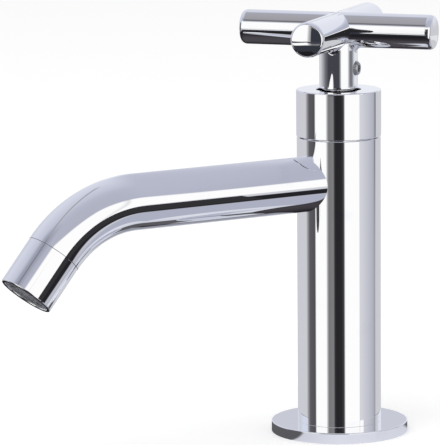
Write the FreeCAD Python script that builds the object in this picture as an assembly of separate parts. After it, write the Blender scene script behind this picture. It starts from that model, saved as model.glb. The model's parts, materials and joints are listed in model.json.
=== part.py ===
import FreeCAD, Part
import math
import os

os.makedirs("parts", exist_ok=True)

# A pillar tap with a cross handle. Sizes are in millimetres and angles in degrees.
# The deck's top is at height 0, +Z is up, the column's axis is the Z axis and the spout points
# along -Y. The tap is drawn closed.

# Outside sizes
flange_diameter = 49.0
flange_thickness = 3.9
flange_bevel = 0.25
body_diameter = 30.0
spout_height = 91.0
shoulder_rise = 16.3
seam_bevel = 0.2
cap_height = 16.8
cap_overhang = 0.15
cap_wall = 2.15
cap_web = 2.5
cap_bevel = 0.4
spout_diameter = 19.8
spout_wall = 1.2
spout_level = 84.7
spout_bend_radius = 41.6
spout_turn = 50.5
nozzle_diameter = 19.5
nozzle_length = 17.7
nozzle_bevel = 0.5
arm_diameter = 12.4
arm_reach = 35.9
arm_rise = 21.3
arm_count = 4
arm_bevel = 0.35
stem_diameter = 13.7
stem_gap = 1.15
arm_angle = 38.5

# Column and shank
column_wall = 3.5
seat_drop = 11.0
seat_web = 3.0
seat_bore = 12.4
port_lip = 0.7
valve_thread_length = 11.8
spigot_length = 4.0
inlet_thread = 20.96
inlet_bore = 12.0
socket_depth = 16.0
socket_end_gap = 0.5
shank_drop = 46.0
shank_bevel = 1.0

# Clamping set and deck seal
gasket_diameter = 41.0
gasket_width = 4.5
gasket_height = 1.5
deck_thickness = 12.0
washer_diameter = 34.0
rubber_washer_height = 3.0
clamp_washer_height = 1.5
nut_flats = 27.0
nut_height = 8.0

# Nozzle and aerator, along the flow from the seam
spigot_entry = 3.0
spigot_shrink = 0.25
nozzle_bore = 13.2
aerator_thread = 16.5
aerator_depth = 11.0
aerator_recess = 0.5
aerator_washer_height = 1.5
aerator_washer_lip = 1.4
cage_wall = 0.9
cage_ledge = 0.6
cage_web = 1.4
plate_height = 1.5
plate_holes = 6
plate_hole_diameter = 1.5
plate_circle_share = 0.62
screen_height = 0.6
cage_bars = 8
cage_bar_width = 1.0
cage_hub_radius = 1.5
key_notches = 4
key_notch_width = 2.2
key_notch_depth = 0.8

# Ceramic disc valve
barrel_diameter = 18.2
barrel_wall = 1.1
seal_height = 2.4
seal_lip = 1.2
seal_bore = 12.6
disc_height = 3.0
moving_disc_height = 3.5
port_inner = 2.2
port_outer = 6.2
port_span = 80.0
key_width = 4.0
key_depth = 1.3
fork_height = 2.4
fork_width = 6.0
window_height = 6.0
window_width = 10.0
cavity_height = 14.0
valve_gasket_width = 2.3
valve_gasket_height = 0.8
hexagon_height = 5.0
neck_diameter = 12.4
neck_height = 1.2
hexagon_gap = 0.3
quarter_turn = 90.0

# Spindle and what it carries
spindle_diameter = 9.8
collar_diameter = 12.8
collar_height = 1.8
spline_diameter = 8.0
spline_root = 7.2
spline_teeth = 20
spline_start = 2.2
spline_length = 13.3
ring_section = 1.8
ring_groove_width = 2.0
ring_bevel = 0.5
ring_heights = (5.0, 10.0)
thrust_washer_height = 0.55
clip_height = 0.8
clip_diameter = 11.2
clip_groove_depth = 0.75
clip_opening = 60.0
stem_lift = 1.8
bush_wall = 1.6
bush_end_gap = 0.4
screw_rise = 7.6
screw_diameter = 4.9
screw_proud = 0.9
socket_flats = 2.5
screw_socket_depth = 1.2

# Shares of the pitch from a tooth's middle: half its tip and half its root
tooth_tip_share = 0.125
tooth_root_share = 0.3

# Clearances
thread_clearance = 0.05
slip_clearance = 0.1
running_clearance = 0.05
free_clearance = 0.3
braze_gap = 0.03
lapped_film = 0.02
axial_play = 0.1

# How far a cutting shape runs past the face that it cuts
overcut = 1.0

# Radii and heights worked out from the sizes above
body_radius = body_diameter / 2
spout_radius = spout_diameter / 2
thread_radius = inlet_thread / 2
chamber_radius = body_radius - column_wall
cap_radius = body_radius + cap_overhang
cap_bore_radius = cap_radius - cap_wall
spigot_radius = cap_bore_radius - thread_clearance
thread_bore_radius = thread_radius + thread_clearance
stem_radius = stem_diameter / 2
barrel_radius = barrel_diameter / 2
barrel_bore_radius = barrel_radius - barrel_wall
spindle_radius = spindle_diameter / 2
spline_radius = spline_diameter / 2
port_radius = spout_radius - spout_wall - port_lip

seat_height = spout_height - seat_drop
cap_seam = spout_height + shoulder_rise
cap_top = cap_seam + cap_height
spigot_top = cap_seam + spigot_length
valve_thread_bottom = spigot_top - valve_thread_length
hexagon_bottom = spigot_top + valve_gasket_height
hexagon_top = hexagon_bottom + hexagon_height
neck_top = hexagon_top + neck_height
barrel_bottom = seat_height + seal_lip
fixed_disc_bottom = seat_height + seal_height
fixed_disc_top = fixed_disc_bottom + disc_height
moving_disc_bottom = fixed_disc_top + lapped_film
moving_disc_top = moving_disc_bottom + moving_disc_height
fork_top = moving_disc_top + fork_height
barrel_ceiling = fixed_disc_bottom + cavity_height
stem_bottom = neck_top + stem_lift
spline_bottom = neck_top + spline_start
spindle_top = spline_bottom + spline_length
arm_height = cap_top + arm_rise
screw_height = cap_top + screw_rise

origin = FreeCAD.Vector(0, 0, 0)
up = FreeCAD.Vector(0, 0, 1)


def lathe(profile, degrees=360):
    # A turned solid: the closed outline of (radius, height) points goes round the Z axis.
    points = [FreeCAD.Vector(radius, 0, height) for radius, height in profile]
    solid = Part.Face(Part.makePolygon(points + points[:1])).revolve(origin, up, degrees)
    if solid.Volume < 0:
        solid.reverse()
    return solid


def ring(outer, inner, bottom, top):
    return lathe([(inner, bottom), (outer, bottom), (outer, top), (inner, top)])


def disc(radius, bottom, top):
    return lathe([(0, bottom), (radius, bottom), (radius, top), (0, top)])


def turned(shape, degrees):
    copy = shape.copy()
    copy.rotate(origin, up, degrees)
    return copy


def around(shape, count, first=0.0):
    # Copies of a shape, evenly spaced round the Z axis.
    return [turned(shape, first + index * 360.0 / count) for index in range(count)]


def sector(inner, outer, span, bottom, top):
    # A piece of a ring, with its middle on +X.
    return turned(lathe([(inner, bottom), (outer, bottom), (outer, top), (inner, top)], span), -span / 2)


def block(near, far, width, bottom, top):
    # A box that runs outwards along +X from near to far.
    corner = FreeCAD.Vector(near, -width / 2, bottom)
    return Part.makeBox(far - near, width, top - bottom, corner)


def prism(points, bottom, top):
    corners = [FreeCAD.Vector(x, y, bottom) for x, y in points]
    face = Part.Face(Part.makePolygon(corners + corners[:1]))
    return face.extrude(FreeCAD.Vector(0, 0, top - bottom))


def hexagon(corner_radius, bottom, top):
    sides = 6
    angles = [2 * math.pi * side / sides for side in range(sides)]
    corners = [(corner_radius * math.cos(a), corner_radius * math.sin(a)) for a in angles]
    return prism(corners, bottom, top)


def hexagon_across_flats(flats, bottom, top):
    # A hexagon of this width between its opposite flats
    return hexagon(flats / math.sqrt(3), bottom, top)


def toothed(root, tip, teeth, bottom, top):
    # A straight spline with trapezoid teeth
    pitch = 2 * math.pi / teeth
    flank = [
        (root, -tooth_root_share),
        (tip, -tooth_tip_share),
        (tip, tooth_tip_share),
        (root, tooth_root_share),
    ]
    points = []
    for tooth in range(teeth):
        for radius, share in flank:
            angle = pitch * (tooth + share)
            points.append((radius * math.cos(angle), radius * math.sin(angle)))
    return prism(points, bottom, top)


def one_solid(shape):
    clean = shape.removeSplitter()
    return clean.Solids[0] if len(clean.Solids) == 1 else clean


def save(shape, node):
    shape.exportStep("parts/" + node + ".step")


# Body column: a tube with a threaded socket below, the valve seat on a web and the valve's thread
# in a spigot that carries the cap.
socket_top = flange_thickness + socket_depth
column = lathe([
    (thread_bore_radius, flange_thickness),
    (body_radius, flange_thickness),
    (body_radius, cap_seam - seam_bevel),
    (body_radius - seam_bevel, cap_seam),
    (spigot_radius, cap_seam),
    (spigot_radius, spigot_top),
    (thread_bore_radius, spigot_top),
    (thread_bore_radius, valve_thread_bottom),
    (chamber_radius, valve_thread_bottom),
    (chamber_radius, seat_height),
    (seat_bore / 2, seat_height),
    (seat_bore / 2, seat_height - seat_web),
    (chamber_radius, seat_height - seat_web),
    (chamber_radius, socket_top),
    (thread_bore_radius, socket_top),
])
spout_start = FreeCAD.Vector(0, 0, spout_height)
spout_way = FreeCAD.Vector(0, -1, 0)
outlet_port = Part.makeCylinder(port_radius, body_radius + overcut, spout_start, spout_way)
save(one_solid(column.cut(outlet_port)), "body_column")


# Base flange, with the shank's hole and a groove for the deck gasket
flange_radius = flange_diameter / 2
gasket_outer = gasket_diameter / 2
gasket_inner = gasket_outer - gasket_width
base_flange = lathe([
    (thread_radius + slip_clearance, 0),
    (gasket_inner - slip_clearance, 0),
    (gasket_inner - slip_clearance, gasket_height),
    (gasket_outer + slip_clearance, gasket_height),
    (gasket_outer + slip_clearance, 0),
    (flange_radius, 0),
    (flange_radius, flange_thickness - flange_bevel),
    (flange_radius - flange_bevel, flange_thickness),
    (thread_radius + slip_clearance, flange_thickness),
])
save(base_flange, "base_flange")
save(ring(gasket_outer, gasket_inner, 0, gasket_height), "deck_gasket")


# Shank: screwed into the column's socket and led down through the deck
shank_top = socket_top - socket_end_gap
threaded_shank = lathe([
    (inlet_bore / 2, -shank_drop),
    (thread_radius - shank_bevel, -shank_drop),
    (thread_radius, shank_bevel - shank_drop),
    (thread_radius, shank_top - shank_bevel),
    (thread_radius - shank_bevel, shank_top),
    (inlet_bore / 2, shank_top),
])
save(threaded_shank, "threaded_shank")

# Clamping set below the deck: rubber washer, metal washer and nut
shank_hole_radius = thread_radius + slip_clearance
rubber_washer_bottom = -deck_thickness - rubber_washer_height
clamp_washer_bottom = rubber_washer_bottom - clamp_washer_height
nut_bottom = clamp_washer_bottom - nut_height
washer_radius = washer_diameter / 2
save(ring(washer_radius, shank_hole_radius, rubber_washer_bottom, -deck_thickness), "shank_washer")
save(ring(washer_radius, shank_hole_radius, clamp_washer_bottom, rubber_washer_bottom), "clamp_washer")
nut = hexagon_across_flats(nut_flats, nut_bottom, clamp_washer_bottom)
nut_bore = disc(thread_bore_radius, nut_bottom - overcut, clamp_washer_bottom + overcut)
save(one_solid(nut.cut(nut_bore)), "back_nut")


# Spout: a level run and one bend in the plane through the column's axis, coped to the column
turn = math.radians(spout_turn)
bend_start = FreeCAD.Vector(0, -spout_level, spout_height)


def on_bend(angle):
    return FreeCAD.Vector(
        0,
        -spout_level - spout_bend_radius * math.sin(angle),
        spout_height - spout_bend_radius * (1 - math.cos(angle)),
    )


bend_end = on_bend(turn)
flow = FreeCAD.Vector(0, -math.cos(turn), -math.sin(turn))
spout_path = Part.Wire([
    Part.LineSegment(spout_start, bend_start).toShape(),
    Part.Arc(bend_start, on_bend(turn / 2), bend_end).toShape(),
])


def spout_rod(radius):
    section = Part.Wire([Part.Circle(spout_start, spout_way, radius).toShape()])
    return spout_path.makePipeShell([section], True, False)


cope = disc(body_radius + braze_gap, spout_height - body_diameter, spout_height + body_diameter)
spout_tube = spout_rod(spout_radius).cut(spout_rod(spout_radius - spout_wall)).cut(cope)
save(one_solid(spout_tube), "spout_tube")


# Nozzle and aerator are turned about the flow's line, with height 0 at the seam and the outlet up,
# and then laid along the bend's end.
to_outlet = FreeCAD.Placement(bend_end, FreeCAD.Rotation(up, flow))


def save_on_outlet(shape, node):
    laid = shape.copy()
    laid.Placement = to_outlet.multiply(laid.Placement)
    save(laid, node)


nozzle_radius = nozzle_diameter / 2
nozzle_spigot_radius = spout_radius - spout_wall - spigot_shrink
nozzle_bore_radius = nozzle_bore / 2
cage_radius = aerator_thread / 2
aerator_bore_radius = cage_radius + thread_clearance
aerator_shoulder = nozzle_length - aerator_depth
spout_nozzle = lathe([
    (nozzle_bore_radius, -spigot_entry),
    (nozzle_spigot_radius, -spigot_entry),
    (nozzle_spigot_radius, 0),
    (nozzle_radius - seam_bevel, 0),
    (nozzle_radius, seam_bevel),
    (nozzle_radius, nozzle_length - nozzle_bevel),
    (nozzle_radius - nozzle_bevel, nozzle_length),
    (aerator_bore_radius + nozzle_bevel, nozzle_length),
    (aerator_bore_radius, nozzle_length - nozzle_bevel),
    (aerator_bore_radius, aerator_shoulder),
    (nozzle_bore_radius, aerator_shoulder),
])
save_on_outlet(spout_nozzle, "spout_nozzle")

cage_top = aerator_shoulder + aerator_washer_height
cage_end = nozzle_length - aerator_recess
cage_bore_radius = cage_radius - cage_wall
aerator_washer = ring(cage_radius, cage_radius - aerator_washer_lip, aerator_shoulder, cage_top)
save_on_outlet(aerator_washer, "aerator_washer")

# Aerator cage: a threaded cup with a ledge for the plate and a barred end, and notches for its key
plate_bottom = cage_top + plate_height
ledge_radius = cage_bore_radius - cage_ledge
web_start = cage_end - cage_web
cage_cup = lathe([
    (0, web_start),
    (ledge_radius, web_start),
    (ledge_radius, plate_bottom),
    (cage_bore_radius, plate_bottom),
    (cage_bore_radius, cage_top),
    (cage_radius, cage_top),
    (cage_radius, cage_end),
    (0, cage_end),
])
bar_spread = 360.0 / cage_bars
slot_middle_radius = (cage_hub_radius + ledge_radius) / 2
slot_span = bar_spread - math.degrees(cage_bar_width / slot_middle_radius)
cage_past = cage_end + overcut
slot = sector(cage_hub_radius, ledge_radius, slot_span, web_start - overcut, cage_past)
notch_bottom = cage_end - key_notch_depth
notch = block(cage_bore_radius, cage_radius + overcut, key_notch_width, notch_bottom, cage_past)
cage_cuts = around(slot, cage_bars, bar_spread / 2) + around(notch, key_notches)
save_on_outlet(one_solid(cage_cup.cut(cage_cuts)), "aerator_cage")

# Drilled plate and the mesh pack below it
plate = disc(cage_bore_radius - slip_clearance, cage_top, plate_bottom)
hole_circle = cage_bore_radius * plate_circle_share
hole_start = FreeCAD.Vector(hole_circle, 0, cage_top - overcut)
hole = Part.makeCylinder(plate_hole_diameter / 2, plate_height + 2 * overcut, hole_start)
save_on_outlet(plate.cut(around(hole, plate_holes)), "aerator_plate")
screen = disc(ledge_radius - slip_clearance, web_start - screen_height, web_start)
save_on_outlet(screen, "aerator_screen")


# Cap over the valve, with the hole for the handle's stem
cap_hole_radius = stem_radius + stem_gap
cap_shroud = lathe([
    (cap_bore_radius, cap_seam),
    (cap_radius - seam_bevel, cap_seam),
    (cap_radius, cap_seam + seam_bevel),
    (cap_radius, cap_top - cap_bevel),
    (cap_radius - cap_bevel, cap_top),
    (cap_hole_radius + seam_bevel, cap_top),
    (cap_hole_radius, cap_top - seam_bevel),
    (cap_hole_radius, cap_top - cap_web),
    (cap_bore_radius, cap_top - cap_web),
])
save(cap_shroud, "cap_shroud")


# Valve housing: barrel with two side windows, thread, relief for the gasket, hexagon and neck,
# bored for the spindle
valve_gasket_outer = spigot_radius - free_clearance
valve_gasket_inner = valve_gasket_outer - valve_gasket_width
save(ring(valve_gasket_outer, valve_gasket_inner, spigot_top, hexagon_bottom), "valve_gasket")
relief_radius = valve_gasket_inner - slip_clearance
guide_radius = spindle_radius + running_clearance
shaft_of_housing = lathe([
    (0, barrel_bottom),
    (barrel_radius, barrel_bottom),
    (barrel_radius, valve_thread_bottom),
    (thread_radius, valve_thread_bottom),
    (thread_radius, spigot_top),
    (relief_radius, spigot_top),
    (relief_radius, hexagon_bottom),
    (neck_diameter / 2, hexagon_bottom),
    (neck_diameter / 2, neck_top),
    (0, neck_top),
])
housing_bore = lathe([
    (0, barrel_bottom - overcut),
    (barrel_bore_radius, barrel_bottom - overcut),
    (barrel_bore_radius, barrel_ceiling),
    (guide_radius, barrel_ceiling),
    (guide_radius, neck_top + overcut),
    (0, neck_top + overcut),
])
window_top = moving_disc_top + window_height
window = block(guide_radius, chamber_radius, window_width, moving_disc_top, window_top)
key_slot_width = key_width + 2 * slip_clearance
key_slot = block(guide_radius, chamber_radius, key_slot_width, barrel_bottom - overcut, fixed_disc_top)
valve_hexagon = hexagon(cap_bore_radius - hexagon_gap, hexagon_bottom, hexagon_top)
housing_blank = shaft_of_housing.fuse(valve_hexagon)
housing_cuts = [housing_bore] + around(window, 2, quarter_turn) + around(key_slot, 2, quarter_turn)
save(one_solid(housing_blank.cut(housing_cuts)), "valve_housing")

# Seat seal: its lip lies under the barrel and its body lifts the lower disc
seat_seal = lathe([
    (seal_bore / 2, seat_height),
    (barrel_radius, seat_height),
    (barrel_radius, barrel_bottom),
    (barrel_bore_radius - slip_clearance, barrel_bottom),
    (barrel_bore_radius - slip_clearance, fixed_disc_bottom),
    (seal_bore / 2, fixed_disc_bottom),
])
save(seat_seal, "seat_seal")

# Ceramic discs: two sector ports each. The lower one's tabs sit in the barrel's slots, and the
# upper one has notches for the fork. Closed, their ports are a quarter turn apart.
fixed_disc_blank = disc(barrel_bore_radius - slip_clearance, fixed_disc_bottom, fixed_disc_top)
tab = block(port_outer, barrel_radius, key_width, fixed_disc_bottom, fixed_disc_top)
ports_bottom = fixed_disc_bottom - overcut
ports_top = moving_disc_top + overcut
port = sector(port_inner, port_outer, port_span, ports_bottom, ports_top)
fixed_disc = fixed_disc_blank.fuse(around(tab, 2, quarter_turn)).cut(around(port, 2))
save(one_solid(fixed_disc), "fixed_disc")

moving_disc_radius = barrel_bore_radius - free_clearance
lug_bottom = moving_disc_top - moving_disc_height / 2
lug_near = moving_disc_radius - key_depth
lug_notch = block(lug_near - slip_clearance, barrel_radius, key_width, lug_bottom, ports_top)
moving_disc_blank = disc(moving_disc_radius, moving_disc_bottom, moving_disc_top)
moving_disc = moving_disc_blank.cut(around(port, 2, quarter_turn) + around(lug_notch, 2))
save(one_solid(moving_disc), "moving_disc")


# Spindle: fork, collar, guided shaft with two ring grooves, clip groove and splined end
groove_radius = spindle_radius - ring_section
clip_bottom = neck_top + lapped_film + thrust_washer_height + lapped_film
clip_top = clip_bottom + clip_height
clip_groove_radius = spindle_radius - clip_groove_depth
collar_top = barrel_ceiling - axial_play
spindle_outline = [
    (0, moving_disc_top),
    (spindle_radius, moving_disc_top),
    (spindle_radius, collar_top - collar_height),
    (collar_diameter / 2, collar_top - collar_height),
    (collar_diameter / 2, collar_top),
    (spindle_radius, collar_top),
]
ring_middles = [barrel_ceiling + height for height in ring_heights]
for middle in ring_middles:
    spindle_outline += [
        (spindle_radius, middle - ring_groove_width / 2),
        (groove_radius, middle - ring_groove_width / 2),
        (groove_radius, middle + ring_groove_width / 2),
        (spindle_radius, middle + ring_groove_width / 2),
    ]
spindle_outline += [
    (spindle_radius, clip_bottom),
    (clip_groove_radius, clip_bottom),
    (clip_groove_radius, clip_top),
    (spindle_radius, clip_top),
    (spindle_radius, spline_bottom),
    (0, spline_bottom),
]
fork_bar = block(-barrel_radius, barrel_radius, fork_width, moving_disc_top, fork_top)
lug = block(lug_near, barrel_radius, key_width - 2 * slip_clearance, lug_bottom, moving_disc_top)
fork = fork_bar.fuse(around(lug, 2)).common(disc(moving_disc_radius, lug_bottom, fork_top))
spline = toothed(spline_root / 2, spline_radius, spline_teeth, spline_bottom, spindle_top)
save(one_solid(lathe(spindle_outline).fuse([fork, spline])), "spindle")

# Rubber rings in the spindle's grooves, the washer on the valve's neck and the open clip
for middle, node in zip(ring_middles, ("spindle_ring_lower", "spindle_ring_upper")):
    ring_bottom = middle - ring_section / 2
    ring_top = middle + ring_section / 2
    spindle_ring = lathe([
        (groove_radius + ring_bevel, ring_bottom),
        (spindle_radius - ring_bevel, ring_bottom),
        (spindle_radius, ring_bottom + ring_bevel),
        (spindle_radius, ring_top - ring_bevel),
        (spindle_radius - ring_bevel, ring_top),
        (groove_radius + ring_bevel, ring_top),
        (groove_radius, ring_top - ring_bevel),
        (groove_radius, ring_bottom + ring_bevel),
    ])
    save(spindle_ring, node)
washer_bottom = neck_top + lapped_film
thrust_washer = ring(neck_diameter / 2, guide_radius, washer_bottom, washer_bottom + thrust_washer_height)
save(thrust_washer, "thrust_washer")
clip_ring = ring(clip_diameter / 2, clip_groove_radius + lapped_film, clip_bottom, clip_top)
clip_mouth_top = clip_top + overcut
clip_mouth = sector(0, clip_diameter, clip_opening, clip_bottom - overcut, clip_mouth_top)
save(one_solid(clip_ring.cut(clip_mouth)), "circlip")


# Cross handle: four round arms that meet in mitres over the stem, which is bored for the bush
bush_radius = spline_radius + bush_wall
bush_bottom = stem_bottom + bush_end_gap
bush_top = spindle_top + bush_end_gap
arm_radius = arm_diameter / 2
arm_outline = [
    (0, 0),
    (arm_radius, 0),
    (arm_radius, arm_reach - arm_bevel),
    (arm_radius - arm_bevel, arm_reach),
    (0, arm_reach),
]
arm = lathe(arm_outline)
arm.rotate(origin, FreeCAD.Vector(0, 1, 0), 90)
arm.translate(FreeCAD.Vector(0, 0, arm_height))
arms = around(arm, arm_count, arm_angle)
stem = disc(stem_radius, stem_bottom, arm_height)
screw_line = turned(Part.makeCylinder(
    screw_diameter / 2 + thread_clearance,
    stem_diameter,
    FreeCAD.Vector(0, 0, screw_height),
    FreeCAD.Vector(1, 0, 0),
), arm_angle)
bush_hole = disc(bush_radius + braze_gap, stem_bottom - overcut, bush_top)
cross_handle = stem.fuse(arms).cut([bush_hole, screw_line])
save(one_solid(cross_handle), "cross_handle")

# Bush with the spline's grooves, and the set screw that goes through it to the spindle
bush_spline = toothed(
    spline_root / 2 + running_clearance,
    spline_radius + running_clearance,
    spline_teeth,
    stem_bottom,
    bush_top + overcut,
)
bush_blank = disc(bush_radius, bush_bottom, bush_top)
save(one_solid(bush_blank.cut([bush_spline, screw_line])), "spline_bush")

screw_near = spline_radius + running_clearance
screw_far = stem_radius + screw_proud
screw_body = disc(screw_diameter / 2, screw_near, screw_far)
screw_socket = hexagon_across_flats(socket_flats, screw_far - screw_socket_depth, screw_far + overcut)
grub_screw = screw_body.cut(screw_socket)
grub_screw.rotate(origin, FreeCAD.Vector(0, 1, 0), 90)
grub_screw.translate(FreeCAD.Vector(0, 0, screw_height))
save(turned(grub_screw, arm_angle), "grub_screw")
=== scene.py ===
import json
import math

import bmesh
import bpy
import numpy as np
from mathutils import Matrix, Vector


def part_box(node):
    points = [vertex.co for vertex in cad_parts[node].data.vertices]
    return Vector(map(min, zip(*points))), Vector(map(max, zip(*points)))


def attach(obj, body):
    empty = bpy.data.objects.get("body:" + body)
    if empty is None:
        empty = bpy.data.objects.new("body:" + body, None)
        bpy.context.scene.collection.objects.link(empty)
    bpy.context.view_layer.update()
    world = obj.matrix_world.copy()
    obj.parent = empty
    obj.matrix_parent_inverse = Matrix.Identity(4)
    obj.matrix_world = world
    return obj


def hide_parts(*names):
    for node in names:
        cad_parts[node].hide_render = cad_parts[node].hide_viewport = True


# A pillar tap with a cross handle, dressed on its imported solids.
# Lengths are in metres in Blender; the dictionaries below give them in millimetres.

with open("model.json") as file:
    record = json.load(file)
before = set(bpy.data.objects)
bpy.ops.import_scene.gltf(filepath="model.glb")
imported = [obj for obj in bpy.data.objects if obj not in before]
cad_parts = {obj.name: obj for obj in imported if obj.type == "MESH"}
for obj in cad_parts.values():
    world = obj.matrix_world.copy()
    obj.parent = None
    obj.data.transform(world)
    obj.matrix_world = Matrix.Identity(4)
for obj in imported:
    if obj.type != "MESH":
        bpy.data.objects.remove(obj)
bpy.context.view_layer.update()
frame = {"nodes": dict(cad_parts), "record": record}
mm = 0.001
print("frame loaded")


def nodeSize(name):
    # Lowest corner, highest corner and size of a solid, in millimetres
    low, high = (np.array(corner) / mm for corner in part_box(name))
    return low, high, high - low


def fullTurn(count):
    return np.linspace(0, 2 * np.pi, count, endpoint=False)


def aboutAxis(r, angle, z):
    # x = r cos a, y = r sin a, at the height z
    return np.stack(np.broadcast_arrays(r * np.cos(angle), r * np.sin(angle), z), axis=-1)


def rotated(out, side, up, angle):
    # (out, side) turned about the Z axis: x = out cos a - side sin a, y = out sin a + side cos a
    x = out * math.cos(angle) - side * math.sin(angle)
    y = out * math.sin(angle) + side * math.cos(angle)
    return np.stack(np.broadcast_arrays(x, y, up), axis=-1)


class Skin:
    # Gathers grids of points into one closed mesh
    def __init__(self):
        self.points = []
        self.quads = []
        self.tris = []
        self.count = 0

    def put(self, points):
        start = self.count
        flat = points.reshape(-1, 3)
        self.points.append(flat)
        self.count += len(flat)
        return start

    def grid(self, points, closeRows=False, closeCols=False):
        # Quads between neighbouring rows and columns; a closed direction joins its end to its start
        rows, cols = points.shape[:2]
        start = self.put(points)
        index = start + np.arange(rows * cols).reshape(rows, cols)
        if closeRows:
            index = np.vstack([index, index[:1]])
        if closeCols:
            index = np.hstack([index, index[:, :1]])
        corners = (index[:-1, :-1], index[:-1, 1:], index[1:, 1:], index[1:, :-1])
        self.quads.append(np.stack(corners, axis=-1).reshape(-1, 4))

    def fan(self, rim, centre, flip=False):
        # Triangles from a closed rim to one point
        start = self.put(np.vstack([rim, centre]))
        here = start + np.arange(len(rim))
        tris = np.stack([here, np.roll(here, -1), np.full(len(rim), start + len(rim))], axis=-1)
        self.tris.append(tris[:, ::-1] if flip else tris)

    def place(self, matrix, shift):
        # The same shape turned by a 3 x 3 matrix and moved
        self.points = [points @ np.asarray(matrix).T + np.asarray(shift) for points in self.points]
        return self

    def build(self, name, sharpAngle=32, weld=0.0004):
        # Points in millimetres become a mesh in metres, welded, smooth, with its hard edges kept
        mesh = bpy.data.meshes.new(name)
        faces = []
        for part in (self.quads, self.tris):
            if part:
                faces += [tuple(face) for face in np.vstack(part).tolist()]
        mesh.from_pydata((np.vstack(self.points) * mm).tolist(), [], faces)
        weldAndTurnOut(mesh, weld * mm)
        mesh.polygons.foreach_set("use_smooth", np.ones(len(mesh.polygons), dtype=bool))
        mesh.set_sharp_from_angle(angle=math.radians(sharpAngle))
        mesh.update()
        piece = bpy.data.objects.new(name, mesh)
        bpy.context.scene.collection.objects.link(piece)
        return piece


def weldAndTurnOut(mesh, distance):
    work = bmesh.new()
    work.from_mesh(mesh)
    bmesh.ops.remove_doubles(work, verts=work.verts, dist=distance)
    bmesh.ops.dissolve_degenerate(work, edges=work.edges, dist=distance / 4)
    bmesh.ops.recalc_face_normals(work, faces=work.faces)
    work.to_mesh(mesh)
    work.free()


def rounded(corners, steps=5, hold=0.04):
    # A closed outline of (radius, height, rounding): each rounded corner becomes a tangent arc, with a
    # point just before and after it that keeps the flat beside it flat in the shading.
    points = []
    total = len(corners)
    for index, (r, z, rounding) in enumerate(corners):
        here = np.array([r, z])
        if not rounding:
            points.append(here)
            continue
        before = np.array(corners[index - 1][:2]) - here
        after = np.array(corners[(index + 1) % total][:2]) - here
        before /= np.linalg.norm(before)
        after /= np.linalg.norm(after)
        half = math.acos(float(np.clip(before @ after, -1, 1))) / 2
        reach = rounding / math.tan(half)
        middle = here + (before + after) / np.linalg.norm(before + after) * rounding / math.sin(half)
        first = here + before * reach
        last = here + after * reach
        startAngle = math.atan2(*(first - middle)[::-1])
        sweep = (math.atan2(*(last - middle)[::-1]) - startAngle + math.pi) % (2 * math.pi) - math.pi
        angles = startAngle + sweep * np.linspace(0, 1, steps + 1)
        arc = middle + rounding * np.stack([np.cos(angles), np.sin(angles)], axis=-1)
        points += [first + before * hold, *arc, last + after * hold]
    return np.array(points)


def revolve(outline, count=160):
    # The outline of (radius, height) goes round the Z axis
    return aboutAxis(outline[:, :1], fullTurn(count), outline[:, 1:])


def turnedPiece(name, corners, count=160, place=None):
    skin = Skin()
    skin.grid(revolve(rounded(corners), count), closeRows=True, closeCols=True)
    if place:
        skin.place(*place)
    return skin.build(name)


def ringCorners(outer, inner, bottom, top, rounding):
    return [(inner, bottom, rounding), (outer, bottom, rounding), (outer, top, rounding), (inner, top, rounding)]


brokenEdge = 0.1  # rounding of edges that no one sees
columnLow, columnHigh, columnSize = nodeSize("body_column")
columnRadius = columnSize[0] / 2
capLow, capHigh, capSize = nodeSize("cap_shroud")

column = {
    "edge": 0.25, "seamGap": 0.16,
    "spigotStep": 2.05,  # the spigot inside the cap is this much smaller in radius
    "spigotEdge": 0.2, "footEdge": 0.15, "wall": 3.5,
    "socket": 10.53,  # radius of the threaded sockets at both ends
    "topSocket": 11.8, "footSocket": 20.0,
}


def makeColumn():
    bottom, top, seam = columnLow[2], columnHigh[2], capLow[2] - column["seamGap"]
    spigot = columnRadius - column["spigotStep"]
    bore = columnRadius - column["wall"]
    return turnedPiece("columnShell", [
        (column["socket"], bottom, column["footEdge"]),
        (columnRadius, bottom, brokenEdge),
        (columnRadius, seam, column["edge"]),
        (spigot, seam, 0),
        (spigot, top, column["spigotEdge"]),
        (column["socket"], top, brokenEdge),
        (column["socket"], top - column["topSocket"], 0),
        (bore, top - column["topSocket"], 0),
        (bore, column["footSocket"], 0),
        (column["socket"], column["footSocket"], 0),
    ], count=192)


flange = {
    "edge": 0.3, "footEdge": 0.15, "hole": 10.58, "grooveInner": 15.9, "grooveOuter": 20.6,
    "grooveDepth": 1.5,
}


def makeFlange():
    low, high, size = nodeSize("base_flange")
    radius, bottom, top = size[0] / 2, low[2], high[2]
    return turnedPiece("flangePlate", [
        (flange["hole"], bottom, brokenEdge),
        (flange["grooveInner"], bottom, brokenEdge),
        (flange["grooveInner"], bottom + flange["grooveDepth"], 0),
        (flange["grooveOuter"], bottom + flange["grooveDepth"], 0),
        (flange["grooveOuter"], bottom, brokenEdge),
        (radius, bottom, flange["footEdge"]),
        (radius, top, flange["edge"]),
        (flange["hole"], top, brokenEdge),
    ], count=224)


cap = {"edge": 0.4, "seamEdge": 0.25, "seamGap": 0.12, "wall": 2.15, "web": 2.5, "hole": 8.0, "holeEdge": 0.25}


def makeCap():
    radius, bottom, top = capSize[0] / 2, capLow[2] + cap["seamGap"], capHigh[2]
    return turnedPiece("capShell", [
        (radius - cap["wall"], bottom, brokenEdge),
        (radius, bottom, cap["seamEdge"]),
        (radius, top, cap["edge"]),
        (cap["hole"], top, cap["holeEdge"]),
        (cap["hole"], top - cap["web"], brokenEdge),
        (radius - cap["wall"], top - cap["web"], 0),
    ], count=192)


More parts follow.
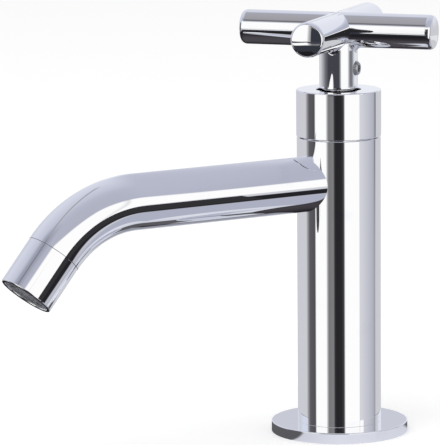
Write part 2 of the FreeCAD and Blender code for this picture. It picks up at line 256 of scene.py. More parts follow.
spout = {
    "height": 91.0,
    "level": 84.7,  # how far it runs level, from the column's axis
    "bend": 41.6, "turn": 50.5, "wall": 1.2, "bendRows": 40, "around": 144,
    "saddleRow": 1.0,  # first row off the column
    "lip": 0.02,  # share of the wall that rounds the tube's end
}
spoutRadius = nodeSize("spout_tube")[2][0] / 2
turn = math.radians(spout["turn"])
bendEnd = np.array([
    0,
    -spout["level"] - spout["bend"] * math.sin(turn),
    spout["height"] - spout["bend"] * (1 - math.cos(turn)),
])
flow = np.array([0, -math.cos(turn), -math.sin(turn)])
# Turns the Z axis onto the flow, about X
ontoFlow = (
    [[1, 0, 0], [0, -math.sin(turn), -math.cos(turn)], [0, math.cos(turn), -math.sin(turn)]],
    bendEnd,
)


def spoutRows(radius, around):
    # Rows of one tube wall. The first row lies on the column: y = -sqrt(R^2 - x^2). The level rows
    # follow, and the bend's rows turn about its centre.
    x = radius * np.cos(around)
    z = radius * np.sin(around)
    saddle = -np.sqrt(columnRadius**2 - x**2)
    rows = [np.stack([x, saddle, spout["height"] + z], axis=-1)]
    for y in (-columnRadius - spout["saddleRow"], -spout["level"] / 2, -spout["level"]):
        rows.append(np.stack([x, np.full_like(x, y), spout["height"] + z], axis=-1))
    centre = spout["height"] - spout["bend"]
    arm = spout["bend"] + z
    for angle in np.linspace(0, turn, spout["bendRows"] + 1)[1:]:
        y = -spout["level"] - arm * math.sin(angle)
        rows.append(np.stack([x, y, centre + arm * math.cos(angle)], axis=-1))
    return np.array(rows)


def makeSpout():
    around = fullTurn(spout["around"])
    outer = spoutRows(spoutRadius, around)
    inner = spoutRows(spoutRadius - spout["wall"], around)
    skin = Skin()
    # The tube's end is a flat ring with a small rounding
    lip = outer[-1] * (1 - spout["lip"]) + inner[-1] * spout["lip"]
    skin.grid(np.concatenate([outer, lip[None], inner[::-1]]), closeRows=True, closeCols=True)
    return skin.build("spoutPipe")


nozzle = {
    "length": 17.7, "edge": 0.45, "seamEdge": 0.12, "seamGap": 0.07, "radius": 9.82, "bore": 8.3,
    "inner": 6.6, "shoulder": 6.7, "shoulderEdge": 0.2,
    "neckStart": -3.0,  # the neck reaches back into the tube
    "neckGap": 0.25,
}


def makeNozzle():
    neck = spoutRadius - spout["wall"] - nozzle["neckGap"]
    return turnedPiece("nozzleSleeve", [
        (nozzle["inner"], nozzle["neckStart"], brokenEdge),
        (neck, nozzle["neckStart"], brokenEdge),
        (neck, nozzle["seamGap"], 0),
        (nozzle["radius"], nozzle["seamGap"], nozzle["seamEdge"]),
        (nozzle["radius"], nozzle["length"], nozzle["edge"]),
        (nozzle["bore"], nozzle["length"], nozzle["edge"]),
        (nozzle["bore"], nozzle["shoulder"], 0),
        (nozzle["inner"], nozzle["shoulder"], nozzle["shoulderEdge"]),
    ], place=ontoFlow)


handle = {
    "turn": 38.5, "reach": 36.1, "radius": 6.2, "height": 145.4, "stem": 6.85, "bottom": 120.1,
    "edgeAlong": 1.8,  # the arm's edge is part of an ellipse: along the arm, and across it
    "edge": 1.0, "edgeRows": 14,
    "edgeLead": 0.04,  # a row just before the edge keeps the arm's wall straight in the shading
    "crown": 11.0,  # slope of the end's crown at its rim, in degrees
    "crownRows": (0.92, 0.8, 0.6, 0.35, 0.12), "wallRows": (10.0, 22.0), "fillet": 2.2, "filletRows": 9,
    "bore": 5.63, "boreTop": 134.2, "shoulder": 124.5, "neck": 6.1, "stemEdge": 0.3, "stemRows": 7,
    "screwHeight": 131.7, "screwHole": 2.5, "screwChamfer": 0.4, "screwDepth": 1.25,
    "quarterCols": 24,  # columns of the stem's grid under each arm
    "upperCols": 78,  # columns of an arm's grid clear of the stem, with both ends
    "windowCells": 16,  # cells across the patch round the set screw
}


def armAngles():
    # Angles round an arm, from the lower arc that meets the stem (its columns are the stem's) and on
    # round the rest, which meets the two neighbours in mitres.
    side = np.radians(np.linspace(-45, 45, handle["quarterCols"] + 1))
    lower = -np.arccos(np.clip(handle["stem"] * np.sin(side) / handle["radius"], -1, 1))
    rest = np.linspace(lower[-1], lower[0] + 2 * np.pi, handle["upperCols"])[1:-1]
    return side, np.concatenate([lower, rest])


def filletReach(side):
    # The fillet under an arm is widest in line with it and runs out at the mitres: cos^2 of twice the angle
    return handle["fillet"] * np.cos(2 * side) ** 2


def armStart(y, h):
    # Distance from the axis where an arm's wall starts: on the mitre |y|, or on the stem below
    stemWall = np.sqrt(np.maximum(handle["stem"] ** 2 - y**2, 0))
    return np.where(h < 0, np.maximum(np.abs(y), stemWall), np.abs(y))


def toArm(points, degrees):
    # (out, side, up) beside an arm's axis to x, y, z
    return rotated(points[..., 0], points[..., 1], points[..., 2] + handle["height"], math.radians(degrees))


def armEnd():
    # Outline of an arm's end as (distance out, radius): the edge is part of an ellipse, from the side to
    # the slope of the crown, and the crown is part of a ball.
    radius, edge, along = handle["radius"], handle["edge"], handle["edgeAlong"]
    slope = math.radians(handle["crown"])
    last = math.atan(along / edge / math.tan(slope))
    bend = np.linspace(0, last, handle["edgeRows"])
    rim = radius - edge * (1 - math.cos(last))
    ball = rim / math.sin(slope)
    rimOut = handle["reach"] - ball * (1 - math.cos(slope))
    start = rimOut - along * math.sin(last)
    edgePart = np.stack([start + along * np.sin(bend), radius - edge * (1 - np.cos(bend))], axis=-1)
    r = rim * np.array(handle["crownRows"])
    crownPart = np.stack([handle["reach"] - ball + np.sqrt(ball**2 - r**2), r], axis=-1)
    return np.vstack([[[start - handle["edgeLead"], radius]], edgePart, crownPart])


def makeArm(skin, degrees):
    side, angles = armAngles()
    y = handle["radius"] * np.cos(angles)
    h = handle["radius"] * np.sin(angles)
    corner = armStart(y, h)
    start = corner.copy()
    start[: len(side)] += filletReach(side)
    rows = [np.stack([start, y, h], axis=-1)]
    outline = [(out, handle["radius"]) for out in handle["wallRows"]]
    for out, radius in [*outline, *armEnd()]:
        share = radius / handle["radius"]
        rows.append(np.stack([np.full_like(y, out), y * share, h * share], axis=-1))
    skin.grid(toArm(np.array(rows), degrees), closeCols=True)
    skin.fan(toArm(rows[-1], degrees), toArm(np.array([[handle["reach"], 0, 0]]), degrees))
    # Fillet: a quadratic curve from the arm to the stem, drawn towards the corner where they would meet
    under = slice(0, len(side))
    onCorner = np.stack([corner[under], y[under], h[under]], axis=-1)
    onWall = onCorner - filletReach(side)[:, None] * np.array([0, 0, 1.0])
    shares = np.linspace(0, 1, handle["filletRows"])[:, None, None]
    curve = (1 - shares) ** 2 * rows[0][under] + 2 * shares * (1 - shares) * onCorner + shares**2 * onWall
    skin.grid(toArm(curve, degrees))


def onStem(angle, z):
    return aboutAxis(handle["stem"], angle, z)


def stemTop(side):
    # Height of the stem's upper edge: the arm's underside at this angle from its axis, less the fillet
    y = handle["stem"] * np.sin(side)
    return handle["height"] - np.sqrt(handle["radius"] ** 2 - y**2) - filletReach(side)


def makeStem(skin):
    cells = handle["windowCells"]
    step = 90.0 / handle["quarterCols"]
    halfWindow = cells / 2 * math.radians(step)
    first = handle["turn"] - step * cells / 2
    angles = np.radians(first + step * np.arange(handle["quarterCols"] * 4))
    side = (angles - math.radians(handle["turn"]) + np.pi / 4) % (np.pi / 2) - np.pi / 4
    reachUp = handle["stem"] * halfWindow
    low, high = handle["screwHeight"] - reachUp, handle["screwHeight"] + reachUp
    # Below the window: the rounded lower edge, the neck in the cap's hole, the bore and its end
    under = rounded([
        (handle["bore"], handle["boreTop"], 0),
        (handle["bore"], handle["bottom"], brokenEdge),
        (handle["neck"], handle["bottom"], brokenEdge),
        (handle["neck"], handle["shoulder"], brokenEdge),
        (handle["stem"], handle["shoulder"], handle["stemEdge"]),
        (handle["stem"], low, 0),
    ])
    skin.grid(aboutAxis(under[:, :1], angles, under[:, 1:]), closeCols=True)
    boreEnd = aboutAxis(handle["bore"], angles, handle["boreTop"])
    skin.fan(boreEnd, np.array([[0, 0, handle["boreTop"]]]))
    # Beside the window
    levels = np.linspace(low, high, cells + 1)[:, None]
    beside = np.append(angles[cells:], angles[0] + 2 * np.pi)
    skin.grid(onStem(beside, levels))
    # Above the window, up to the arms
    shares = np.linspace(0, 1, handle["stemRows"])[:, None]
    skin.grid(onStem(angles, high + (stemTop(side) - high) * shares), closeCols=True)
    makeScrewWindow(skin, reachUp)


def makeScrewWindow(skin, reachUp):
    # A square patch of the stem that closes in on a round hole, then the hole's chamfer, wall and floor.
    # Each spoke runs from the square's rim to the circle that the drill leaves.
    stem, height = handle["stem"], handle["screwHeight"]
    ramp = np.linspace(-1, 1, handle["windowCells"] + 1)[:-1]
    ones = np.ones(handle["windowCells"])
    squareA = np.concatenate([ramp, ones, -ramp, -ones])
    squareB = np.concatenate([-ones, ramp, ones, -ramp])
    spoke = np.arctan2(squareB, squareA)
    hole = handle["screwHole"]
    mouth = hole + handle["screwChamfer"]
    middle = math.radians(handle["turn"])
    rows = []
    for share in (0, 0.35, 0.65, 0.85, 0.97, 1):
        across = squareA * reachUp * (1 - share) + mouth * np.cos(spoke) * share
        rise = squareB * reachUp * (1 - share) + mouth * np.sin(spoke) * share
        # The drilled circle is flat across the stem, the square is measured along its surface
        flat = np.arcsin(np.clip(across / stem, -1, 1))
        rows.append(onStem(middle + across / stem * (1 - share) + flat * share, height + rise))
    skin.grid(np.array(rows), closeCols=True)
    rim = np.sqrt(stem**2 - (hole * np.cos(spoke)) ** 2) - handle["screwChamfer"]
    floor = stem - handle["screwDepth"]
    walls = [rows[-1]]
    for share in (0.0, 0.1, 1.0):
        out = rim * (1 - share) + floor * share
        walls.append(rotated(out, hole * np.cos(spoke), height + hole * np.sin(spoke), middle))
    skin.grid(np.array(walls), closeCols=True)
    skin.fan(walls[-1], aboutAxis(floor, middle, height)[None])


def makeHandle():
    skin = Skin()
    for arm in range(4):
        makeArm(skin, handle["turn"] + 90 * arm)
    makeStem(skin)
    return skin.build("crossHandle")


setScrew = {
    "radius": 2.4, "length": 3.3, "proud": 0.9, "chamfer": 0.45, "flats": 2.5, "socketDepth": 1.2,
    "socketEdge": 0.2, "around": 72,
}


def hexagonRadius(flats, angles):
    # Distance to the side of a hexagon in each direction
    return flats / 2 / np.cos((angles + np.pi / 6) % (np.pi / 3) - np.pi / 6)


def makeSetScrew():
    angles = fullTurn(setScrew["around"])
    flat = hexagonRadius(setScrew["flats"], angles)
    radius, face, chamfer, edge = (setScrew[key] for key in ("radius", "length", "chamfer", "socketEdge"))
    floor = face - setScrew["socketDepth"]
    outline = [
        (radius, 0.0),
        (radius, face - chamfer),
        (radius - chamfer, face),
        (flat + edge, face),
        (flat, face - edge),
        (flat, floor),
    ]
    rows = [aboutAxis(r, angles, z) for r, z in outline]
    skin = Skin()
    skin.grid(np.array(rows), closeCols=True)
    skin.fan(rows[0], np.array([[0, 0, 0.0]]), flip=True)
    skin.fan(rows[-1], np.array([[0, 0, floor]]))
    a = math.radians(handle["turn"])
    out = np.array([math.cos(a), math.sin(a), 0])
    side = np.array([-math.sin(a), math.cos(a), 0])
    up = np.array([0, 0, 1.0])
    start = out * (handle["stem"] + setScrew["proud"] - face) + up * handle["screwHeight"]
    return skin.place(np.stack([up, side, out], axis=1), start).build("setScrew")


cage = {
    "radius": 8.25, "end": 17.2, "top": 8.2, "wall": 0.9, "ledge": 6.75, "ledgeDepth": 1.5,
    "ledgeEdge": 0.15, "edge": 0.25, "web": 1.4, "bars": 8, "barWidth": 1.0, "barEdge": 0.3, "hub": 1.5,
    "hubHole": 0.3,
    "overlap": 0.3,  # of the bars into the hub
    "sunk": 0.2,  # how far the bars lie inside the end and reach into the rim
    "midRing": 4.1, "ringWidth": 0.8,
}


def makeCage():
    skin = Skin()
    r, end, top = cage["radius"], cage["end"], cage["top"]
    rim = rounded([
        (cage["ledge"], end, cage["ledgeEdge"]),
        (r, end, cage["edge"]),
        (r, top, brokenEdge),
        (r - cage["wall"], top, brokenEdge),
        (r - cage["wall"], top + cage["ledgeDepth"], 0),
        (cage["ledge"], top + cage["ledgeDepth"], 0),
    ])
    webBottom = end - cage["web"]
    hub = rounded([
        (cage["hubHole"], webBottom, 0),
        (cage["hub"], webBottom, brokenEdge),
        (cage["hub"], end, cage["barEdge"]),
        (cage["hubHole"], end, 0),
    ])
    inner, outer = (cage["midRing"] + cage["ringWidth"] / 2 * sign for sign in (-1, 1))
    ring = rounded(ringCorners(outer, inner, webBottom, end - 0.1, cage["ledgeEdge"]))
    for outline, count in ((rim, 128), (hub, 48), (ring, 96)):
        skin.grid(revolve(outline, count), closeRows=True, closeCols=True)
    half = cage["barWidth"] / 2
    section = rounded([
        (-half, webBottom, brokenEdge),
        (half, webBottom, brokenEdge),
        (half, end - cage["sunk"], cage["barEdge"]),
        (-half, end - cage["sunk"], cage["barEdge"]),
    ])
    # Each bar runs from inside the hub to inside the rim
    outs = np.array([cage["hub"] - cage["overlap"], cage["ledge"] + cage["sunk"]])
    for bar in range(cage["bars"]):
        angle = 2 * math.pi * (bar + 0.5) / cage["bars"]
        skin.grid(rotated(outs[:, None], section[:, 0], section[:, 1], angle), closeCols=True)
    return skin.place(*ontoFlow).build("aeratorCage")


weave = {"wire": 0.09, "pitch": 0.5, "radius": 6.6, "height": 15.35, "sides": 6, "cells": 44}


def makeWeave():
    # Woven wires: each rises and falls by one wire over its neighbours, in both directions
    skin = Skin()
    count = int(weave["radius"] / weave["pitch"])
    around = fullTurn(weave["sides"])
    for crosswise in (False, True):
        for line in range(-count, count + 1):
            offset = line * weave["pitch"]
            half = math.sqrt(weave["radius"] ** 2 - offset**2)
            along = np.linspace(-half, half, weave["cells"])
            sign = 1 if crosswise else -1
            wave = sign * weave["wire"] * np.cos(np.pi * (along / weave["pitch"] + line))
            cross = offset + weave["wire"] * np.cos(around)
            rise = weave["height"] + wave[:, None] + weave["wire"] * np.sin(around)[None, :]
            length, breadth = np.broadcast_arrays(along[:, None], cross[None, :])
            axes = (breadth, length) if crosswise else (length, breadth)
            rows = np.stack([*axes, rise], axis=-1)
            skin.grid(rows, closeCols=True)
            for rim in (rows[0], rows[-1]):
                skin.fan(rim, rim.mean(axis=0, keepdims=True))
    return skin.place(*ontoFlow).build("aeratorWeave", weld=0.0001)


thread = {"pitch": 1.814, "depth": 1.16, "crest": 0.1, "rowsPerTurn": 10, "around": 72, "runout": 1.2}
shank = {"bore": 6.0, "boreEdge": 0.3, "endChamfer": 1.0}


def threadWall(radius, bottom, top):
    # A screw thread as one wall: the depth is a rounded saw of height / pitch - angle / full turn, and
    # it fades out over the runout at both ends.
    rows = int((top - bottom) / thread["pitch"] * thread["rowsPerTurn"])
    z = np.linspace(bottom, top, rows)[:, None]
    a = fullTurn(thread["around"])[None, :]
    phase = (z / thread["pitch"] - a / (2 * np.pi)) % 1
    saw = np.clip(np.abs(2 * phase - 1) * (1 + 2 * thread["crest"]) - thread["crest"], 0, 1)
    fade = np.clip(np.minimum(z - bottom, top - z) / thread["runout"], 0, 1)
    return aboutAxis(radius - thread["depth"] * saw * fade, a, z)


def makeShank():
    low, high, size = nodeSize("threaded_shank")
    radius, bottom, top = size[0] / 2, low[2], high[2]
    bore, edge, chamfer = shank["bore"], shank["boreEdge"], shank["endChamfer"]
    wall = threadWall(radius, bottom + chamfer, top - chamfer)
    ends = np.array([
        [radius - chamfer, top],
        [bore + edge, top],
        [bore, top - edge],
        [bore, bottom + edge],
        [bore + edge, bottom],
        [radius - chamfer, bottom],
    ])
    skin = Skin()
    skin.grid(np.concatenate([wall, revolve(ends, thread["around"])]), closeRows=True, closeCols=True)
    return skin.build("shankThread")


nut = {"bore": 10.53, "mouth": 0.6, "cone": 30, "rim": 0.2, "around": 144}


def makeNut():
    # The hexagon's corners are cut by a cone above and below
    low, high, size = nodeSize("back_nut")
    bottom, top, half = low[2], high[2], size[1] / 2
    angles = fullTurn(nut["around"])
    side = hexagonRadius(size[1], angles)
    cut = (side - half) * math.tan(math.radians(nut["cone"]))
    outline = [
        (half - nut["rim"], bottom),
        (side, bottom + cut),
        (side, top - cut),
        (half - nut["rim"], top),
        (nut["bore"] + nut["mouth"], top),
        (nut["bore"], top - nut["mouth"]),
        (nut["bore"], bottom + nut["mouth"]),
        (nut["bore"] + nut["mouth"], bottom),
    ]
    skin = Skin()
    skin.grid(np.array([aboutAxis(r, angles, z) for r, z in outline]), closeRows=True, closeCols=True)
    return skin.build("backNut")


def makeWasher(name, node, rounding):
    low, high, size = nodeSize(node)
    return turnedPiece(name, ringCorners(size[0] / 2, flange["hole"], low[2], high[2], rounding), count=144)


class Wire:
    # A shader value that takes + - * / and adds the Math nodes for them
    def __init__(self, graph, socket):
        self.graph = graph
        self.socket = socket

    def maths(self, operation, *values):
        return self.graph.value("ShaderNodeMath", {"operation": operation}, dict(enumerate(values)))

    def __add__(self, other):
        return self.maths("ADD", self, other)

    def __radd__(self, other):
        return self.maths("ADD", other, self)

    def __sub__(self, other):
        return self.maths("SUBTRACT", self, other)

    def __rsub__(self, other):
        return self.maths("SUBTRACT", other, self)

    def __mul__(self, other):
        return self.maths("MULTIPLY", self, other)

    def __rmul__(self, other):
        return self.maths("MULTIPLY", other, self)

    def __truediv__(self, other):
        return self.maths("DIVIDE", self, other)

    def between(self, low, high, start=0.0, end=1.0):
        # A smooth step from start to end as the value goes from low to high
        settings = {"interpolation_type": "SMOOTHSTEP"}
        return self.graph.value("ShaderNodeMapRange", settings, {0: self, 1: low, 2: high, 3: start, 4: end})

    def window(self, start, full, last, end):
        # One from full to last, and nothing before start or after end
        return self.between(start, full) * self.between(last, end, 1.0, 0.0)

    def band(self, low, high, soft):
        return self.window(low - soft, low + soft, high - soft, high + soft)

    def tones(self, stops, low=-180, high=180):
        # A colour by the value, from stops of (value, red, green, blue), in steps of a picture's level
        colours = [((at - low) / (high - low), tone(*levels)) for at, *levels in stops]
        return self.graph.value("ShaderNodeValToRGB", {"stops": colours}, {0: (self - low) / (high - low)})


class Graph:
    # Adds nodes to one tree
    def __init__(self, tree):
        self.tree = tree
        tree.nodes.clear()

    def node(self, kind, settings=None, inputs=None):
        node = self.tree.nodes.new(kind)
        for key, value in (settings or {}).items():
            if key == "stops":
                self.setStops(node.color_ramp, value)
            else:
                setattr(node, key, value)
        for key, value in (inputs or {}).items():
            if isinstance(value, Wire):
                self.tree.links.new(value.socket, node.inputs[key])
            else:
                node.inputs[key].default_value = value
        return node

    def setStops(self, ramp, stops):
        while len(ramp.elements) < len(stops):
            ramp.elements.new(0.5)
        for element, (position, colour) in zip(ramp.elements, stops):
            element.position = position
            element.color = colour

    def value(self, kind, settings=None, inputs=None, output=0):
        return Wire(self, self.node(kind, settings, inputs).outputs[output])

    def parts(self, vector):
        node = self.node("ShaderNodeSeparateXYZ", {}, {"Vector": vector})
        return [Wire(self, socket) for socket in node.outputs]

    def mix(self, factor, first, second):
        settings = {"data_type": "RGBA", "clamp_factor": True}
        return self.value("ShaderNodeMix", settings, {0: factor, 6: first, 7: second}, 2)

    def glow(self, colour, strength=1.0):
        return self.value("ShaderNodeEmission", {}, {"Color": colour, "Strength": strength})

    def either(self, factor, first, second):
        return self.value("ShaderNodeMixShader", {}, {0: factor, 1: first, 2: second})

    def rays(self):
        # Whether a ray was mirrored, and whether it comes straight from the view or through glass
        light = self.node("ShaderNodeLightPath")
        names = ("Is Glossy Ray", "Is Camera Ray", "Is Transmission Ray")
        mirrored, viewed, passed = (Wire(self, light.outputs[name]) for name in names)
        return mirrored, viewed + passed

    def place(self, scale=(1, 1, 1)):
        # Object coordinates in metres, scaled
        spot = self.value("ShaderNodeTexCoord", output="Object")
        return self.value("ShaderNodeMapping", {"vector_type": "POINT"}, {"Vector": spot, "Scale": scale})

    def noise(self, vector, scale, detail=3.0, roughness=0.5, distortion=0.0):
        inputs = {"Vector": vector, "Scale": scale, "Detail": detail}
        inputs.update({"Roughness": roughness, "Distortion": distortion})
        return self.value("ShaderNodeTexNoise", {"noise_dimensions": "3D"}, inputs)

    def bump(self, height, distance, strength=1.0):
        return self.value("ShaderNodeBump", {}, {"Height": height, "Distance": distance, "Strength": strength})


def linear(level):
    # A picture's level of 0 to 255 as scene light
    share = level / 255
    return share / 12.92 if share <= 0.04045 else ((share + 0.055) / 1.055) ** 2.4


def tone(*levels):
    # A colour from red, green and blue, or a grey from one level
    red, green, blue = levels if len(levels) > 1 else levels * 3
    return (linear(red), linear(green), linear(blue), 1.0)


def newGraph(name):
    material = bpy.data.materials.new(name)
    material.use_nodes = True
    return material, Graph(material.node_tree)


def finish(name, inputs):
    # A material with one Principled shader; inputs is a function that makes its sockets' values
    material, graph = newGraph(name)
    shader = graph.value("ShaderNodeBsdfPrincipled", {}, inputs(graph))
    graph.node("ShaderNodeOutputMaterial", {}, {0: shader})
    return material


# A noise is its scale, detail, roughness and distortion; a range is where its patches begin and are full
chromeLook = {
    "clean": tone(253, 253, 254), "smudged": tone(243, 244, 247), "rough": 0.012, "smudgeRough": 0.05,
    "hairs": (900.0, 4.0, 0.7), "hairStretch": (1.0, 1.0, 9.0), "hairRough": 0.006,
    "smudges": (70.0, 5.0, 0.65, 0.4), "smudgeRange": (0.56, 0.78), "smudgeShare": 0.6,
    "specks": (1900.0, 2.0, 0.5), "speckRange": (0.74, 0.8), "speckShare": 0.4,
    "wave": (55.0, 1.0), "relief": (0.00001, 0.25),
}


def chromeInputs(graph):
    # Plated brass: a faint wave left by the polishing wheel, fine hairlines and a few dull spots
    look, spot = chromeLook, graph.place()
    hairs = graph.noise(graph.place(look["hairStretch"]), *look["hairs"])
    smudge = graph.noise(spot, *look["smudges"]).between(*look["smudgeRange"])
    speck = graph.noise(spot, *look["specks"]).between(*look["speckRange"])
    dull = smudge * look["smudgeShare"] + speck * look["speckShare"]
    return {
        "Base Color": graph.mix(dull, look["clean"], look["smudged"]),
        "Metallic": 1.0,
        "Roughness": hairs * look["hairRough"] + look["rough"] + dull * look["smudgeRough"],
        "Normal": graph.bump(graph.noise(spot, *look["wave"]), *look["relief"]),
    }


brassLook = {
    "clean": tone(205, 172, 98), "dark": tone(150, 112, 56), "rough": 0.24,
    "tarnish": (120.0, 6.0, 0.6, 0.5), "range": (0.42, 0.72), "darkShare": 0.75, "darkRough": 0.2,
    "grain": (2500.0, 2.0), "grainRough": 0.08, "grainRelief": 0.3,
    "ringPitch": 0.00035, "ringRelief": 0.5, "relief": (0.00002, 0.35),
}


def brassInputs(graph):
    # Turned brass: fine tool rings about the axis, tarnish in patches
    look, spot = brassLook, graph.place()
    rounds = graph.parts(spot)[2] * (2 * math.pi / look["ringPitch"])
    rings = rounds.maths("SINE", rounds)
    tarnish = graph.noise(spot, *look["tarnish"]).between(*look["range"])
    grain = graph.noise(spot, *look["grain"])
    return {
        "Base Color": graph.mix(tarnish * look["darkShare"], look["clean"], look["dark"]),
        "Metallic": 1.0,
        "Roughness": tarnish * look["darkRough"] + grain * look["grainRough"] + look["rough"],
        "Normal": graph.bump(rings * look["ringRelief"] + grain * look["grainRelief"], *look["relief"]),
    }


steelLook = {
    "clean": tone(190, 191, 194), "worn": tone(128, 129, 132), "rough": 0.28, "metallic": 1.0,
    "patches": (150.0, 5.0, 0.6), "range": (0.45, 0.75), "wornShare": 0.6, "wornRough": 0.1,
    "grain": (2200.0, 4.0, 0.7), "grainRough": 0.14, "relief": (0.00001, 0.4), "stretch": (1.0, 1.0, 0.08),
}
rubberLook = {
    "clean": tone(34, 34, 36), "worn": tone(78, 78, 76), "rough": 0.62,
    "patches": (160.0, 6.0, 0.62), "range": (0.45, 0.8), "wornShare": 0.5, "wornRough": 0.15,
    "grain": (3200.0, 3.0, 0.6), "grainRough": 0.12, "relief": (0.00003, 0.5),
}
mouldedLook = {
    "patches": (190.0, 5.0, 0.6, 0.3), "range": (0.45, 0.78), "wornShare": 0.7, "wornRough": 0.12,
    "grain": (2600.0, 3.0, 0.6), "grainRough": 0.1, "relief": (0.00002, 0.35),
}
greyLook = {**mouldedLook, "clean": tone(122, 124, 130), "worn": tone(160, 161, 164), "rough": 0.34}
whiteLook = {**mouldedLook, "clean": tone(228, 228, 224), "worn": tone(200, 198, 190), "rough": 0.38}
ceramicLook = {**mouldedLook, "clean": tone(240, 238, 230), "worn": tone(222, 218, 206), "rough": 0.12}
ceramicLook.update({"grain": (4200.0, 3.0, 0.6), "relief": (0.000005, 0.35)})


def grainedInputs(look):
    # Worn patches over a fine grain
    def inputs(graph):
        worn = graph.noise(graph.place(), *look["patches"]).between(*look["range"])
        grain = graph.noise(graph.place(look.get("stretch", (1, 1, 1))), *look["grain"])
        return {
            "Base Color": graph.mix(worn * look["wornShare"], look["clean"], look["worn"]),
            "Metallic": look.get("metallic", 0.0),
            "Roughness": worn * look["wornRough"] + grain * look["grainRough"] + look["rough"],
            "Normal": graph.bump(grain, *look["relief"]),
        }

    return inputs


# Finishes by the record's slots
finishes = {
    "chrome": finish("polishedChrome", chromeInputs),
    "brass": finish("turnedBrass", brassInputs),
    "steel": finish("brushedSteel", grainedInputs(steelLook)),
    "rubber": finish("blackRubber", grainedInputs(rubberLook)),
    "grey_plastic": finish("greyAcetal", grainedInputs(greyLook)),
    "white_plastic": finish("whiteAcetal", grainedInputs(whiteLook)),
    "ceramic": finish("lappedCeramic", grainedInputs(ceramicLook)),
}
slots = {row["node"]: row["material_slot"] for row in frame["record"]["subparts"]}
bodies = frame["record"]["behaviour"]["bodies"]
print("finishes made")


def dress(piece, node, mirrored=True):
    # The piece stands for the solid, has its finish and moves with its body
    slot = slots.pop(node)
    piece.data.materials.append(finishes[slot])
    piece.visible_glossy = mirrored
    body = next(name for name, members in bodies.items() if node in members)
    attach(piece, body)
    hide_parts(node)


dress(makeColumn(), "body_column")
dress(makeFlange(), "base_flange")
dress(makeCap(), "cap_shroud")
dress(makeSpout(), "spout_tube")
dress(makeNozzle(), "spout_nozzle")
dress(makeHandle(), "cross_handle")
dress(makeSetScrew(), "grub_screw")
dress(makeCage(), "aerator_cage")
dress(makeWeave(), "aerator_screen")
# The deck is clear to mirrored rays, so what is under it stays out of the polished metal above
dress(makeShank(), "threaded_shank", mirrored=False)
dress(makeNut(), "back_nut", mirrored=False)
dress(makeWasher("rubberWasher", "shank_washer", 0.4), "shank_washer", mirrored=False)
dress(makeWasher("steelWasher", "clamp_washer", 0.15), "clamp_washer", mirrored=False)
print("pieces made")

# The other solids stay as they are, with their finish
for node, slot in slots.items():
    solid = frame["nodes"][node]
    if not solid.material_slots:
        solid.data.materials.append(finishes[slot])
    for materialSlot in solid.material_slots:
        materialSlot.material = finishes[slot]
print("solids dressed")

shot = {
    "azimuth": 58.546, "elevation": 9.414, "distance": 1.32804, "focalPixels": 3705.4, "roll": -0.464,
    "aimRight": -0.042623, "aimUp": 0.076181, "longSide": 445, "sensor": 36.0,
}
shotFacing = shot["azimuth"] - 90  # degrees from the X axis to the camera


def viewAxes(azimuth, elevation):
    # Right, up and back of one who looks at the tap from this side
    a, e = math.radians(azimuth), math.radians(elevation)
    right = np.array([math.cos(a), math.sin(a), 0])
    back = np.array([math.sin(a) * math.cos(e), -math.cos(a) * math.cos(e), math.sin(e)])
    return right, np.cross(back, right), back


def standAt(name, data, right, up, back, spot):
    matrix = np.eye(4)
    matrix[:3] = np.stack([right, up, back, spot], axis=1)
    thing = bpy.data.objects.new(name, data)
    thing.matrix_world = Matrix(matrix.tolist())
    bpy.context.scene.collection.objects.link(thing)
    return thing


def makeCamera():
    right, up, back = viewAxes(shot["azimuth"], shot["elevation"])
    roll = math.radians(shot["roll"])
    rolledRight = math.cos(roll) * right + math.sin(roll) * up
    rolledUp = -math.sin(roll) * right + math.cos(roll) * up
    aim = right * shot["aimRight"] + np.array([0, 0, shot["aimUp"]])
    data = bpy.data.cameras.new("camera")
    data.sensor_width = shot["sensor"]
    data.lens = shot["focalPixels"] / shot["longSide"] * shot["sensor"]
    data.clip_start, data.clip_end = 0.01, 50
    bpy.context.scene.camera = standAt("camera", data, rolledRight, rolledUp, back, aim + back * shot["distance"])


# Painted reflections: what the polished metal mirrors, by the direction from the camera's side, in degrees round
# from the camera and degrees up. These tones are seen by mirrored rays alone and give no light. Stops are
# (degrees, red, green, blue), with levels of 0 to 255.
paintedWallReflectionStops = [
    (-180, 204, 205, 212), (-150, 203, 204, 211), (-104, 204, 205, 211), (-98, 152, 152, 156),
    (-90, 92, 91, 95), (-75, 84, 83, 87), (-71, 74, 73, 76), (-68, 255), (-37, 255),
    (-34.5, 190, 190, 192), (-30, 119, 118, 121), (-17, 127, 126, 129), (-13.5, 48, 47, 50),
    (-8, 38, 37, 40), (5, 41, 40, 43), (12, 66, 65, 68), (15.5, 255), (56, 255), (57, 200),
    (58.5, 212, 213, 220), (106, 176, 178, 190), (112, 158, 159, 168), (116, 158, 159, 168),
    (119, 202, 203, 208), (160, 204, 205, 210), (180, 204, 205, 212),
]
paintedBackReflectionStops = [
    (-180, 236, 238, 246), (-160, 208, 212, 223), (-140, 203, 207, 219), (-120, 214, 220, 235),
    (-100, 210, 216, 232), (130, 218, 221, 234), (180, 236, 238, 246),
]
paintedCeilingReflectionStops = [
    (-1.0, 216, 220, 234), (-0.5, 204, 208, 223), (-0.2, 196, 200, 215), (0.0, 190, 194, 210),
    (0.15, 182, 186, 202), (0.4, 178, 181, 197), (1.0, 176, 178, 192),
]
paintedFloorReflectionStops = [(-90, 78, 75, 80), (-62, 72, 69, 74), (-45, 44, 42, 46), (-30, 30, 29, 32)]
# Painted reflection panels on the wall: (start, full, last, end) round, the same up, their strength and levels
paintedReflectionPanels = [
    ((-37, -35, 17, 19), (23, 27, 91, 92), 1.0, (255,)),
    ((56.5, 58.5, 68, 70), (-7, -5.6, 27.3, 28.7), 1.0, (255,)),
    ((112, 115, 117.5, 120.5), (-10.5, -7.6, 0, 2), 0.65, (60, 62, 70)),
    ((-65.5, -62.5, -7.5, -4.5), (-92, -91, -13.8, -12.8), 1.0, (52, 54, 62)),
]
